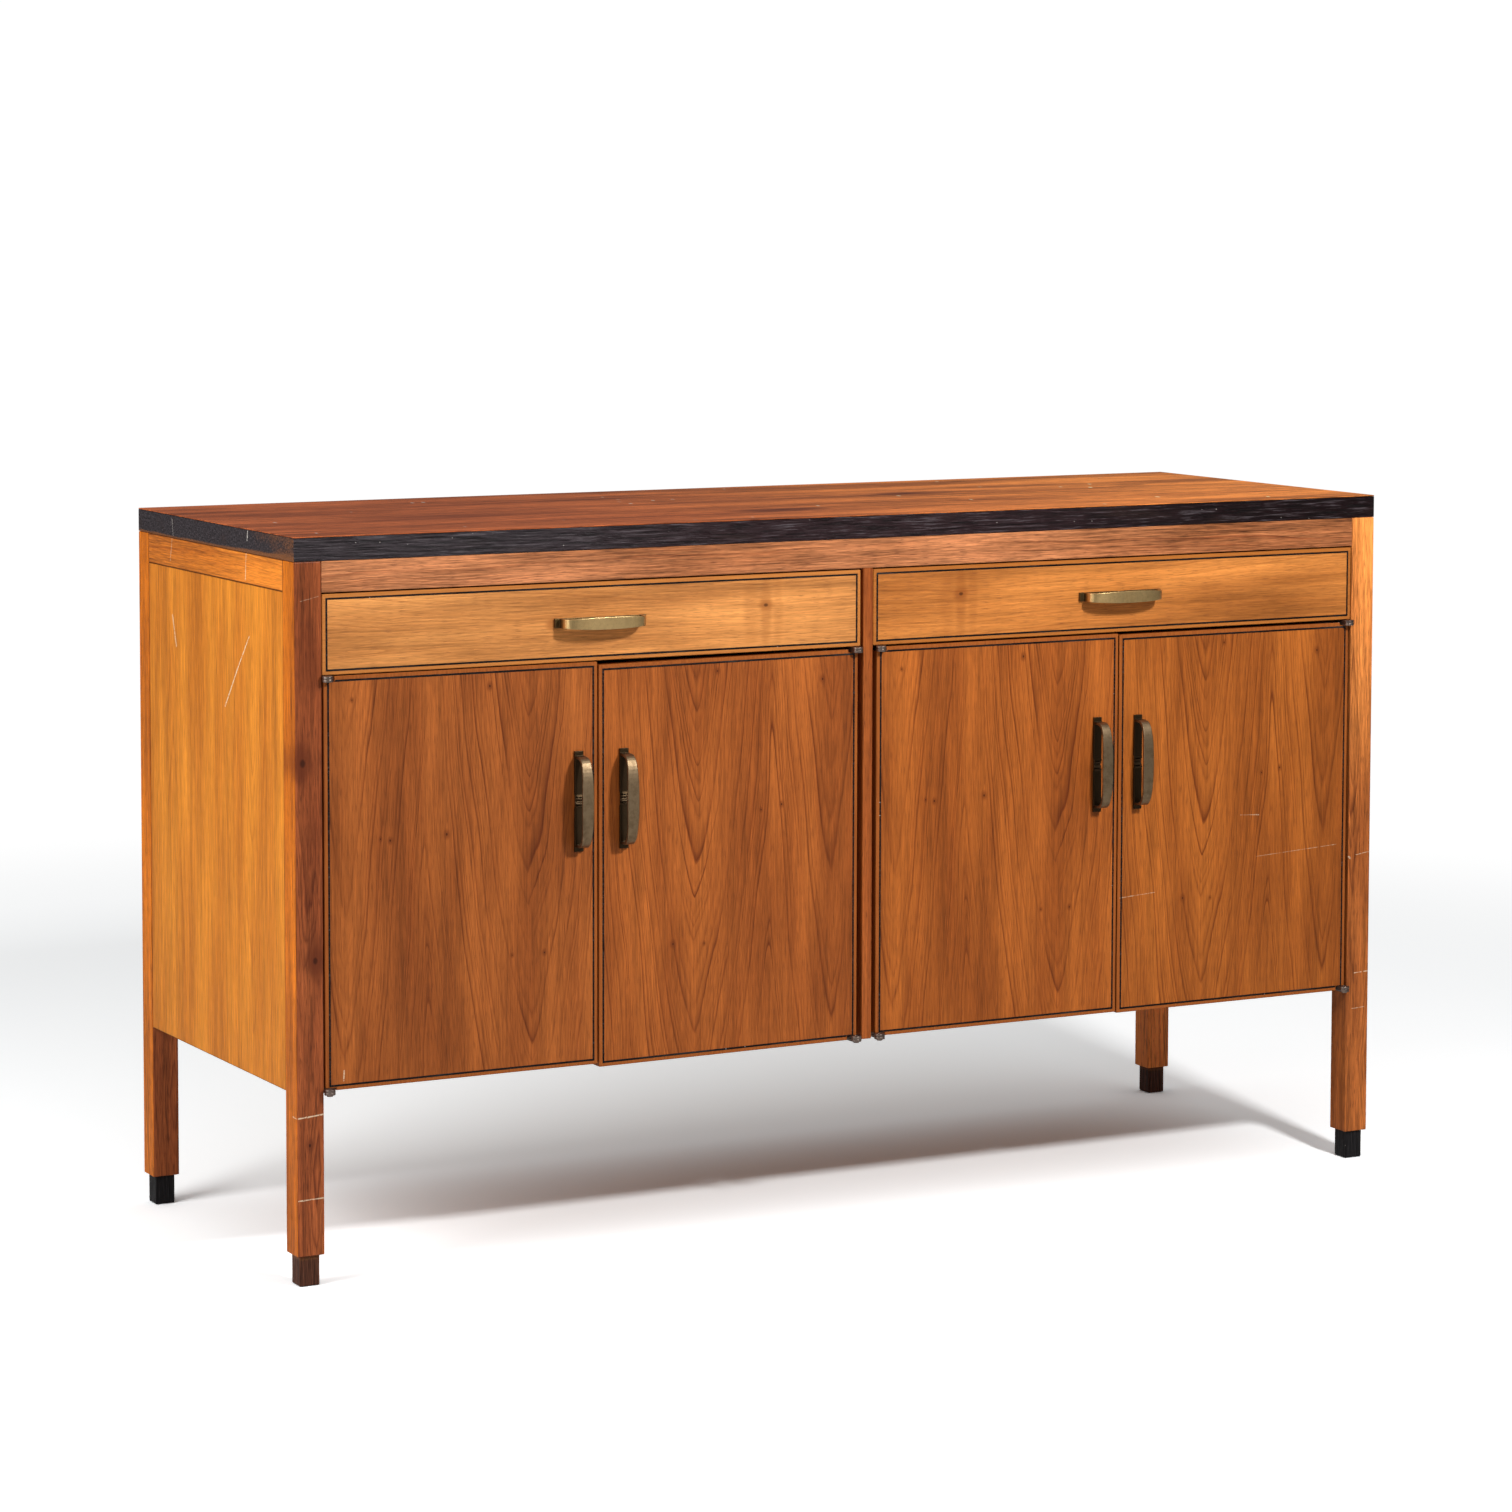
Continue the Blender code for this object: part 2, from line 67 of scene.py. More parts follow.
class Graph:
    """A material's node tree, written as calls that hand back sockets."""

    def __init__(self, name):
        self.material = bpy.data.materials.new(name)
        self.material.use_nodes = True
        self.tree = self.material.node_tree
        self.tree.nodes.clear()
        self.shader = self.add("ShaderNodeBsdfPrincipled")
        output = self.add("ShaderNodeOutputMaterial")
        self.tree.links.new(self.shader.outputs[0], output.inputs[0])
        self.place = self.add("ShaderNodeTexCoord").outputs["Object"]

    def add(self, kind):
        return self.tree.nodes.new(kind)

    def feed(self, socket, value):
        if isinstance(value, bpy.types.NodeSocket):
            self.tree.links.new(value, socket)
        elif hasattr(value, "__len__") and len(value) == 3 and len(socket.default_value) == 4:
            socket.default_value = (*value, 1.0)
        else:
            socket.default_value = value

    def math(self, operation, first, second=0.0, third=0.0, clamp=False):
        node = self.add("ShaderNodeMath")
        node.operation = operation
        node.use_clamp = clamp
        for socket, value in zip(node.inputs, (first, second, third)):
            self.feed(socket, value)
        return node.outputs[0]

    def vector(self, operation, first, second=(0, 0, 0), scale=None):
        node = self.add("ShaderNodeVectorMath")
        node.operation = operation
        self.feed(node.inputs[0], first)
        self.feed(node.inputs[1], second)
        if scale is not None:
            self.feed(node.inputs["Scale"], scale)
        scalar = operation in ("LENGTH", "DISTANCE", "DOT_PRODUCT")
        return node.outputs["Value" if scalar else "Vector"]

    def split(self, vector):
        node = self.add("ShaderNodeSeparateXYZ")
        self.feed(node.inputs[0], vector)
        return node.outputs

    def pack(self, x, y, z):
        node = self.add("ShaderNodeCombineXYZ")
        for socket, value in zip(node.inputs, (x, y, z)):
            self.feed(socket, value)
        return node.outputs[0]

    def noise(self, vector, scale, detail=3.0, rough=0.55, warp=0.0):
        node = self.add("ShaderNodeTexNoise")
        self.feed(node.inputs["Vector"], self.vector("MULTIPLY", vector, scale))
        node.inputs["Scale"].default_value = 1.0
        node.inputs["Detail"].default_value = detail
        node.inputs["Roughness"].default_value = rough
        node.inputs["Distortion"].default_value = warp
        return node.outputs[0]

    def specks(self, vector, scale, share, size):
        """Small scattered dots: 1 inside a dot. share is how many cells hold one."""
        node = self.add("ShaderNodeTexVoronoi")
        self.feed(node.inputs["Vector"], self.vector("MULTIPLY", vector, scale))
        node.inputs["Scale"].default_value = 1.0
        near = self.step(node.outputs["Distance"], size, size * 0.6)
        chosen = self.math("LESS_THAN", self.split(node.outputs["Color"])[0], share)
        return self.math("MULTIPLY", near, chosen)

    def step(self, value, start, end, low=0.0, high=1.0):
        """A smooth change from low, where value is start, to high, where it is end."""
        node = self.add("ShaderNodeMapRange")
        node.interpolation_type = "SMOOTHSTEP"
        for socket, item in zip(node.inputs, (value, start, end, low, high)):
            self.feed(socket, item)
        return node.outputs[0]

    def ramp(self, value, stops):
        node = self.add("ShaderNodeValToRGB")
        self.feed(node.inputs[0], value)
        items = node.color_ramp.elements
        while len(items) < len(stops):
            items.new(0.5)
        for item, (place, shade) in zip(items, stops):
            item.position = place
            item.color = (shade, shade, shade, 1.0)
        return node.outputs[0]

    def mix(self, amount, first, second, blend="MIX"):
        node = self.add("ShaderNodeMix")
        node.data_type = "RGBA"
        node.blend_type = blend
        self.feed(node.inputs["Factor"], amount)
        self.feed(node.inputs[6], first)
        self.feed(node.inputs[7], second)
        return node.outputs[2]

    def bump(self, height, distance, strength=1.0, rounded=0.0):
        """Relief from a height. rounded is the radius, in metres, that softens edges and facets."""
        node = self.add("ShaderNodeBump")
        node.inputs["Distance"].default_value = distance
        node.inputs["Strength"].default_value = strength
        self.feed(node.inputs["Height"], height)
        if rounded:
            soft = self.add("ShaderNodeBevel")
            soft.samples = 6
            soft.inputs["Radius"].default_value = rounded
            self.feed(node.inputs["Normal"], soft.outputs[0])
        self.feed(self.shader.inputs["Normal"], node.outputs[0])

    def scratch(self, start, end, width):
        """1 along a straight scratch between two points of the object, broken up along its length."""
        start, end = Vector(start), Vector(end)
        run = end - start
        from_start = self.vector("SUBTRACT", self.place, tuple(start))
        share = self.math("DIVIDE", self.vector("DOT_PRODUCT", from_start, tuple(run)), run.length_squared)
        share = self.math("ADD", share, 0.0, clamp=True)
        nearest = self.vector("SCALE", tuple(run), scale=share)
        distance = self.vector("DISTANCE", from_start, nearest)
        wander = self.math("SUBTRACT", self.noise(self.place, (160, 160, 160), 2.0), 0.5)
        distance = self.math("ADD", distance, self.math("MULTIPLY", wander, 0.0016))
        line = self.step(distance, width, width * 0.3)
        broken = self.step(self.noise(self.place, (420, 420, 420), 2.0), 0.32, 0.5)
        return self.math("MULTIPLY", line, broken)


# ---------------------------------------------------------------- wood

AXES = {"X": 0, "Y": 1, "Z": 2}
# Growth arches are pointed: 2 would make them round.
ARCH_POWER = 1.45
# How dark a growth ring is across its own width: pale early wood first, dark late wood last.
RING_PROFILE = ((0.0, 0.35), (0.14, 0.0), (0.40, 0.10), (0.74, 0.50), (0.90, 1.0), (1.0, 0.35))
LIPPING_WIDTH = STRING_INSET + 0.0008
BARE_WOOD = (0.80, 0.62, 0.42)
SPECK_COLOUR = (0.62, 0.50, 0.42)


def scaled(colour, share):
    return tuple(part * share for part in colour)


def tint(tones, red, green, blue):
    return {name: (c[0] * red, c[1] * green, c[2] * blue) for name, c in tones.items()}


def grain_axes(g, grain, across, origin):
    """The place measured across the grain, along it and into the board, from the board's origin."""
    local = g.split(g.vector("SUBTRACT", g.place, tuple(origin)))
    depth = ({0, 1, 2} - {AXES[grain], AXES[across]}).pop()
    return local[AXES[across]], local[AXES[grain]], local[depth]


def edge_distance(g, u, v, width, length):
    """How far a spot of a board lies inside the board's nearest edge."""
    sides = g.math("MINIMUM", u, g.math("SUBTRACT", width, u))
    ends = g.math("MINIMUM", v, g.math("SUBTRACT", length, v))
    return g.math("MINIMUM", sides, ends)


def ring_lines(g, u, v, w, place, fine, eyes, rings, warp):
    """The dark lines of the growth rings, 0 to 1. Rings are cones round a pith that lies near below the
    face, so the cut shows nested arches."""
    wide = g.math("SUBTRACT", g.noise(place, (9, 2.0, 9), 2.0), 0.5)
    moved = g.math("ADD", u, g.math("MULTIPLY", wide, warp * 2))
    moved = g.math("ADD", moved, g.math("MULTIPLY", fine, warp * 0.25))
    radius = None
    for centre_u, centre_v, near, slope in eyes:
        aside = g.math("POWER", g.math("ABSOLUTE", g.math("SUBTRACT", moved, centre_u)), ARCH_POWER)
        away = g.math("MULTIPLY_ADD", g.math("ABSOLUTE", g.math("SUBTRACT", v, centre_v)), slope, near)
        figure = g.math("POWER", g.math("ADD", aside, g.math("POWER", away, ARCH_POWER)), 1 / ARCH_POWER)
        radius = figure if radius is None else g.math("SMOOTH_MIN", radius, figure, 0.012)
    radius = g.math("ADD", radius, g.math("MULTIPLY", fine, warp * 0.20))
    radius = g.math("ADD", radius, g.math("MULTIPLY", w, 0.8))
    turns = g.math("DIVIDE", radius, rings)
    # Good and poor years come in slow and quick waves, so the rings aren't evenly spaced.
    for pace, swing in ((0.9, 0.55), (2.3, 0.18)):
        wave = g.math("SINE", g.math("MULTIPLY", turns, pace))
        turns = g.math("ADD", turns, g.math("MULTIPLY", wave, swing))
    line = g.ramp(g.math("FRACT", turns), RING_PROFILE)
    year = g.add("ShaderNodeTexWhiteNoise")
    year.noise_dimensions = "1D"
    g.feed(year.inputs["W"], g.math("FLOOR", turns))
    return g.math("MULTIPLY", line, g.step(year.outputs["Value"], 0.0, 1.0, 0.15, 1.0))


def add_clouds(g, colour, u, v, fine, dark, clouds):
    """Dark clouds in the figure: (across, along, half width, half length, strength)."""
    for spot_u, spot_v, half_u, half_v, strength in clouds:
        offset = g.vector("SUBTRACT", g.pack(u, v, 0.0), (spot_u, spot_v, 0.0))
        distance = g.vector("LENGTH", g.vector("MULTIPLY", offset, (1 / half_u, 1 / half_v, 0.0)))
        distance = g.math("MULTIPLY_ADD", fine, 2.2, distance)
        colour = g.mix(g.math("MULTIPLY", g.step(distance, 1.3, 0.4), strength), colour, dark)
    return colour


def add_knots(g, colour, u, v, fine, dark, knots):
    """Knots: (across, along, radius). The grain darkens round a knot, and its heart is nearly black."""
    heart = scaled(dark, 0.25)
    for knot_u, knot_v, size in knots:
        offset = g.vector("SUBTRACT", g.pack(u, v, 0.0), (knot_u, knot_v, 0.0))
        distance = g.vector("LENGTH", g.vector("MULTIPLY", offset, (1.0, 0.7, 1.0)))
        distance = g.math("ADD", distance, g.math("MULTIPLY", fine, size))
        colour = g.mix(g.math("MULTIPLY", g.step(distance, size * 4.0, size), 0.6), colour, dark)
        colour = g.mix(g.math("MULTIPLY", g.step(distance, size, size * 0.4), 0.8), colour, heart)
    return colour


def add_scratches(g, colour, scratches, bare):
    """Scratches down to a paler colour: (start, end, width, strength)."""
    for start, end, width, strength in scratches:
        colour = g.mix(g.math("MULTIPLY", g.scratch(start, end, width), strength), colour, bare)
    return colour


def wood(name, grain, across, base, dark, pale, origin=(0, 0, 0), seed=0.0,
         eyes=((-0.06, 0.1, 0.06, 0.05),), rings=0.004, ring_depth=0.55, warp=0.016, rough=0.38, gloss=0.18,
         streak=0.5, blotch=0.0, pitted=0.7, specks=0.0, knots=(), clouds=(), scratches=(), border=None,
         seam=None, shade=None, painted_left_light=None):
    """Lacquered veneer or solid wood.

    grain and across name the axes along and across the grain; u and v are measured across and along it,
    from the origin. eyes are (u, v, nearness, slope): the middle of a nested growth figure, how blunt its
    tips are and how fast it widens away from the middle. rings is the spacing of the rings, ring_depth
    their contrast and warp their waviness. streak, blotch and pitted are the strength of the fine streaks,
    of the large clouds and of the dark pores, and specks is the share of small worn dots. border is (width,
    length, colour) of the solid lipping round a veneered sheet, and seam is (width, length) of a board that
    is darkened along its edges. shade is (axis, from, to, colour), a slow change along an axis that paints
    light or shade into the colour, and faded is painted light: the change of colour on faces turned to the
    left.
    """
    g = Graph(name)
    u, v, w = grain_axes(g, grain, across, origin)
    place = g.vector("ADD", g.pack(u, v, w), (seed * 3.7, seed * 1.9, seed * 2.3))
    fine = g.math("SUBTRACT", g.noise(place, (46, 6.5, 46), 3.0), 0.5)
    line = ring_lines(g, u, v, w, place, fine, eyes, rings, warp)
    fade = g.step(g.noise(place, (24, 3.2, 24), 2.0), 0.28, 0.66)

    cloud = g.noise(place, (17, 2.2, 17), 3.0, 0.6)
    bands = g.noise(place, (85, 2.4, 85), 3.0, 0.6)
    streaks = g.noise(place, (430, 10, 430), 3.0, 0.62)
    threads = g.noise(place, (900, 34, 900), 2.0, 0.6)
    pore = g.step(g.noise(place, (1500, 55, 1500), 2.0, 0.5), 0.57, 0.68)

    colour = g.mix(g.step(cloud, 0.30, 0.70), base, pale)
    ring = g.math("MULTIPLY", g.math("MULTIPLY", line, g.math("ADD", fade, 0.25)), ring_depth)
    colour = g.mix(g.math("MULTIPLY", ring, 1.0, clamp=True), colour, dark)
    value = 1.0
    for noise, strength in ((streaks, 2.3 * streak), (threads, 2.2 * streak), (bands, 1.9 * streak),
                            (cloud, blotch)):
        value = g.math("MULTIPLY_ADD", g.math("SUBTRACT", noise, 0.5), strength, value)
    colour = g.mix(1.0, colour, value, "MULTIPLY")
    colour = g.mix(g.math("MULTIPLY", pore, pitted), colour, scaled(dark, 0.6))
    if specks:
        dots = g.specks(g.place, (62, 24, 62), specks, 0.15)
        chosen = g.step(g.noise(g.place, (6, 6, 6), 2.0), 0.40, 0.55)
        colour = g.mix(g.math("MULTIPLY", dots, chosen), colour, SPECK_COLOUR)
    if shade:
        axis, start, end, change = shade
        amount = g.step(g.split(g.place)[AXES[axis]], start, end)
        colour = g.mix(amount, colour, change, "MULTIPLY")
    colour = add_clouds(g, colour, u, v, fine, dark, clouds)
    colour = add_knots(g, colour, u, v, fine, dark, knots)
    # Painted light: faces turned to the left are made brighter and more golden, as the side light makes
    # them.
    if painted_left_light:
        normal = g.split(g.add("ShaderNodeTexCoord").outputs["Normal"])[0]
        colour = g.mix(g.step(normal, -0.4, -0.8), colour, g.mix(1.0, colour, painted_left_light, "MULTIPLY"))
    if border:
        width, length, lipping = border
        edge = edge_distance(g, u, v, width, length)
        solid = g.mix(g.math("MULTIPLY", g.step(streaks, 0.35, 0.75), 0.5), lipping, dark)
        colour = g.mix(g.step(edge, LIPPING_WIDTH + 0.0003, LIPPING_WIDTH - 0.0003), colour, solid)
    # Darkens a ragged line along the board's edges.
    if seam:
        edge = edge_distance(g, u, v, *seam)
        ragged = g.math("MULTIPLY_ADD", g.math("SUBTRACT", streaks, 0.5), 0.002, 0.0014)
        colour = g.mix(g.math("MULTIPLY", g.step(edge, ragged, 0.0003), 0.85), colour, scaled(dark, 0.25))
    g.feed(g.shader.inputs["Base Color"], add_scratches(g, colour, scratches, BARE_WOOD))

    haze = g.noise(g.place, (7, 7, 7), 3.0, 0.6)
    roughness = g.math("ADD", rough - 0.06, g.math("MULTIPLY", haze, 0.12))
    roughness = g.math("ADD", roughness, g.math("MULTIPLY", pore, 0.12))
    g.feed(g.shader.inputs["Roughness"], roughness)
    g.shader.inputs["Specular IOR Level"].default_value = gloss
    height = g.math("ADD", g.math("MULTIPLY", pore, -0.6), g.math("MULTIPLY", streaks, 0.5))
    g.bump(height, 0.00018, 0.6)
    return g.material


def ebonized(name, grain, across, origin, worn=None, base=(0.012, 0.009, 0.010), brown=(0.20, 0.075, 0.028),
             along=(), scratches=()):
    """Black-stained open-grained wood. worn is a function of the graph giving where the stain has gone, and
    along lists (from x, to x, colour) where the colour changes along the piece."""
    g = Graph(name)
    place = g.pack(*grain_axes(g, grain, across, origin))
    streaks = g.noise(place, (360, 15, 360), 4.0, 0.70)
    groove = g.noise(place, (520, 24, 520), 2.0, 0.5)
    cloud = g.noise(place, (40, 5, 40), 3.0, 0.6)
    stain = base
    for start, end, tone in along:
        stain = g.mix(g.step(g.split(g.place)[0], start, end), stain, tone)
    colour = g.mix(1.0, stain, g.step(streaks, 0.34, 0.56, 0.2, 1.0), "MULTIPLY")
    # Pale streaks along the grain: partly the grain's own tone, partly painted highlights.
    pale = tuple(c * 2.2 + 0.030 for c in base)
    colour = g.mix(g.math("MULTIPLY", g.step(streaks, 0.53, 0.68), 0.7), colour, pale)
    colour = g.mix(g.math("MULTIPLY", g.step(cloud, 0.5, 0.75), 0.35), colour, (0.040, 0.020, 0.014))
    if worn:
        ragged = g.math("ADD", worn(g), g.math("MULTIPLY", g.math("SUBTRACT", streaks, 0.5), 0.9))
        colour = g.mix(g.step(ragged, 0.5, 0.9), colour, brown)
    dots = g.specks(g.place, (230, 230, 230), 0.030, 0.17)
    colour = g.mix(g.math("MULTIPLY", dots, 0.7), colour, (0.55, 0.50, 0.46))
    g.feed(g.shader.inputs["Base Color"], add_scratches(g, colour, scratches, (0.60, 0.55, 0.50)))
    g.feed(g.shader.inputs["Roughness"], g.math("ADD", 0.33, g.math("MULTIPLY", cloud, 0.22)))
    g.shader.inputs["Specular IOR Level"].default_value = 0.15
    grooves = g.math("MULTIPLY", g.step(groove, 0.5, 0.7), -1.0)
    g.bump(g.math("ADD", grooves, g.math("MULTIPLY", streaks, 0.7)), 0.0011, 0.9)
    return g.material


def brass(name, base, patina, rough=0.36, tarnish=0.5, brushed="Z", painted_strap_shade=None):
    """Aged brass: satin lengthwise brushing and darker patches. sunk is the y range over which a pull
    darkens
    from the bow back to the strap behind it: painted shade behind the bow."""
    g = Graph(name)
    scale = [900.0, 900.0, 900.0]
    scale[AXES[brushed]] = 30.0
    brushing = g.noise(g.place, tuple(scale), 2.0, 0.5)
    patches = g.noise(g.place, (95, 95, 95), 4.0, 0.62)
    pits = g.specks(g.place, (700, 700, 700), 0.08, 0.2)
    colour = g.mix(g.math("MULTIPLY", g.step(patches, 0.40, 0.72), tarnish), base, patina)
    colour = g.mix(g.math("MULTIPLY", pits, 0.6), colour, scaled(patina, 0.4))
    # Painted shade: the brass darkens from the bow toward the strap behind it.
    if painted_strap_shade:
        colour = g.mix(g.step(g.split(g.place)[1], *painted_strap_shade), colour, scaled(patina, 0.50))
    g.feed(g.shader.inputs["Base Color"], colour)
    g.shader.inputs["Metallic"].default_value = 1.0
    roughness = g.math("ADD", rough, g.math("MULTIPLY", g.math("SUBTRACT", patches, 0.5), 0.35))
    g.feed(g.shader.inputs["Roughness"], roughness)
    g.bump(g.math("ADD", brushing, g.math("MULTIPLY", patches, 1.5)), 0.00005, 0.7, 0.0014)
    return g.material


def give(node, material):
    slots = NODES[node].data.materials
    slots.clear()
    slots.append(material)


def sharpen(obj, degrees=35):
    obj.data.shade_smooth()
    obj.data.set_sharp_from_angle(angle=math.radians(degrees))


# ---------------------------------------------------------------- colours (linear)

DOOR = dict(base=(0.322, 0.079, 0.0125), dark=(0.150, 0.030, 0.0045), pale=(0.425, 0.115, 0.0185))
DRAWER = dict(base=(0.560, 0.209, 0.053), dark=(0.330, 0.098, 0.020), pale=(0.690, 0.290, 0.080))
FRAME_WOOD = dict(base=(0.252, 0.060, 0.019), dark=(0.115, 0.024, 0.008), pale=(0.335, 0.090, 0.028))
GOLD = dict(base=(0.590, 0.178, 0.0135), dark=(0.330, 0.078, 0.005), pale=(0.700, 0.240, 0.020))
RAIL = dict(base=(0.380, 0.130, 0.046), dark=(0.200, 0.050, 0.016), pale=(0.500, 0.190, 0.076))
TOP = dict(base=(0.345, 0.078, 0.022), dark=(0.100, 0.018, 0.007), pale=(0.470, 0.116, 0.033))
MAPLE = dict(base=(0.640, 0.440, 0.240), dark=(0.450, 0.270, 0.120), pale=(0.740, 0.540, 0.320))
PLY = dict(base=(0.520, 0.290, 0.140), dark=(0.350, 0.165, 0.066), pale=(0.600, 0.360, 0.185))
INSIDE = dict(base=(0.330, 0.120, 0.040), dark=(0.180, 0.056, 0.018), pale=(0.420, 0.170, 0.060))
DOOR_TINTS = ((0.93, 0.95, 1.12), (1.0, 1.0, 1.1), (1.0, 1.0, 0.95), (1.04, 1.08, 0.98))
DOOR_LIPPING = (0.37, 0.100, 0.017)
# The y range from a pull's bow to its strap, over which painted shade darkens the brass.
STRAP_SHADE = (-0.2560, -0.2425)


# ---------------------------------------------------------------- finishes of the nodes

# Pin knots of the two door figures and scratches on the doors, as shares of a door's width and height.
ODD_PINS = ((0.20, 0.60), (0.235, 0.595), (0.44, 0.60), (0.68, 0.29), (0.80, 0.29), (0.60, 0.955),
            (0.10, 0.94))
EVEN_PINS = ((0.62, 0.61), (0.70, 0.62), (0.28, 0.29), (0.40, 0.285), (0.45, 0.965), (0.86, 0.93))
DOOR_SCRATCHES = {
    1: (((0.064, 0.022), (0.066, 0.046), 0.0012, 0.8),),
    4: (((0.53, 0.500), (0.61, 0.497), 0.0006, 0.40),
        ((0.60, 0.385), (0.96, 0.400), 0.0004, 0.35),
        ((0.01, 0.305), (0.16, 0.312), 0.0006, 0.45)),
}


def finish_doors():
    """The sheets are matched, so doors 1 and 3 share one figure and doors 2 and 4 the other."""
    for number, change in enumerate(DOOR_TINTS, 1):
        low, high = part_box(f"door_{number}")
        wide, tall = high.x - low.x, high.z - low.z
        if number % 2:
            seed, pins, middle, aside = 1.0, ODD_PINS, 0.742, 0.075
        else:
            seed, pins, middle, aside = 2.0, EVEN_PINS, 0.375, 0.90
        eyes = ((middle * wide, 1.04 * tall, 0.026, 0.125), (aside * wide, 1.10 * tall, 0.062, 0.07))
        knots = [(u * wide, v * tall, 0.0009 + 0.0003 * (index % 3)) for index, (u, v) in enumerate(pins)]
        marks = [((low.x + start[0] * wide, low.y, low.z + start[1] * tall),
                  (low.x + end[0] * wide, low.y, low.z + end[1] * tall), width, strength)
                 for start, end, width, strength in DOOR_SCRATCHES.get(number, ())]
        give(f"door_{number}", wood(
            f"door_{number}_walnut", "Z", "X", origin=low, seed=seed, eyes=eyes, rings=0.0032,
            ring_depth=1.0, warp=0.017, rough=0.42, streak=0.42, blotch=0.7, pitted=0.4, knots=knots,
            scratches=marks, border=(wide, tall, DOOR_LIPPING), **tint(DOOR, *change)))


# (shift along the front, half length, strength) of each flame.
FLAMES = ((0.0, 0.008, 0.36), (-0.020, 0.012, 0.22), (0.017, 0.007, 0.20))


def finish_drawer(side, seed, knot, tones, lipping, spots=()):
    """A drawer front whose knot is given as shares of its length and height, and its maple box."""
    low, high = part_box(f"{side}_drawer_front")
    long, tall = high.x - low.x, high.z - low.z
    knot_v, knot_u = knot[0] * long, knot[1] * tall
    eyes = ((1.5 * tall, knot_v, 0.020, 0.10), (-0.9 * tall, 0.45 * long, 0.060, 0.05))
    # A flame of crossing grain runs up through the knot.
    flames = [(0.55 * tall, knot_v + shift, 0.050, half, strength) for shift, half, strength in FLAMES]
    flames += [(up * tall, share * long, half_u, half_v, strength)
               for up, share, half_u, half_v, strength in spots]
    give(f"{side}_drawer_front", wood(
        f"{side}_drawer_walnut", "X", "Z", origin=low, seed=seed, eyes=eyes, rings=0.0034, ring_depth=0.45,
        warp=0.012, rough=0.38, knots=[(knot_u, knot_v, 0.0026)], clouds=flames, streak=0.38, blotch=1.5,
        pitted=0.5, border=(tall, long, lipping), **tones))
    box = dict(origin=low, ring_depth=0.2, rough=0.5, streak=0.3, **MAPLE)
    sides = wood(f"{side}_drawer_maple", "Y", "X", seed=5.0, **box)
    for part in ("left_side", "right_side", "bottom"):
        give(f"{side}_drawer_{part}", sides)
    give(f"{side}_drawer_back", wood(f"{side}_drawer_maple_back", "X", "Z", seed=5.5, **box))


def post_scratches(corner_name, low, high):
    left, right, y = low.x, high.x, low.y
    if corner_name == "front_left":
        return [((left + 0.002, y, 0.1985), (right - 0.001, y, 0.2010), 0.0011, 0.9),
                ((left + 0.002, y, 0.1020), (right, y, 0.1030), 0.0009, 0.8),
                ((left, y + 0.001, 0.1985), (left, y + 0.012, 0.1990), 0.0010, 0.8),
                ((left + 0.008, y, 0.798), (right - 0.004, y, 0.803), 0.0005, 0.3)]
    if corner_name == "front_right":
        return [((left + 0.012, y, 0.2460), (right, y, 0.2470), 0.0008, 0.8),
                ((left + 0.008, y, 0.1990), (right - 0.006, y, 0.2000), 0.0006, 0.5),
                ((left, y, 0.4000), (left + 0.003, y, 0.3980), 0.0015, 0.9),
                ((left + 0.012, y, 0.4020), (right, y, 0.4050), 0.0006, 0.6)]
    return []


# Knots and dark swirls up the front left post.
POST_KNOTS = ((0.016, 0.13, 0.0020), (0.024, 0.345, 0.0040), (0.010, 0.575, 0.0050))
POST_SWIRLS = ((0.024, 0.345, 0.012, 0.03, 0.6), (0.008, 0.575, 0.010, 0.035, 0.7),
               (0.020, 0.70, 0.012, 0.05, 0.4))
# Two lifts make up for this studio's light, which leaves the top of the front right post and the foot of
# the rear right one too dark. They aren't a difference between the boards.
POST_LIFTS = {
    "front_right": ("Z", 0.45, 0.80, (1.98, 2.32, 2.40)),
    "rear_right": ("Z", 0.24, 0.20, (2.5, 2.5, 2.5)),
}
# Colour change for faces of the left posts turned to the left: painted light.
LEFT_FACE_PAINTED_LIGHT = (1.82, 1.82, 0.20)


def finish_posts():
    """Solid posts, the grain running up."""
    for index, corner_name in enumerate(CORNERS):
        low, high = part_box(f"{corner_name}_post")
        first, right = index == 0, index % 2
        tones = tint(FRAME_WOOD, 1.45, 1.58, 1.08) if right else tint(FRAME_WOOD, 1.08, 1.05, 0.95)
        give(f"{corner_name}_post", wood(
            f"{corner_name}_post_walnut", "Z", "X", origin=low, seed=6.0 + index,
            eyes=((0.012, 0.52, 0.018, 0.05), (0.03, 0.10, 0.022, 0.05)), rings=0.0034, ring_depth=0.8,
            warp=0.03, rough=0.38, streak=0.7, blotch=1.0, knots=POST_KNOTS if first else (),
            clouds=POST_SWIRLS if first else (), scratches=post_scratches(corner_name, low, high),
            shade=POST_LIFTS.get(corner_name), painted_left_light=None if right else LEFT_FACE_PAINTED_LIGHT, **tones))


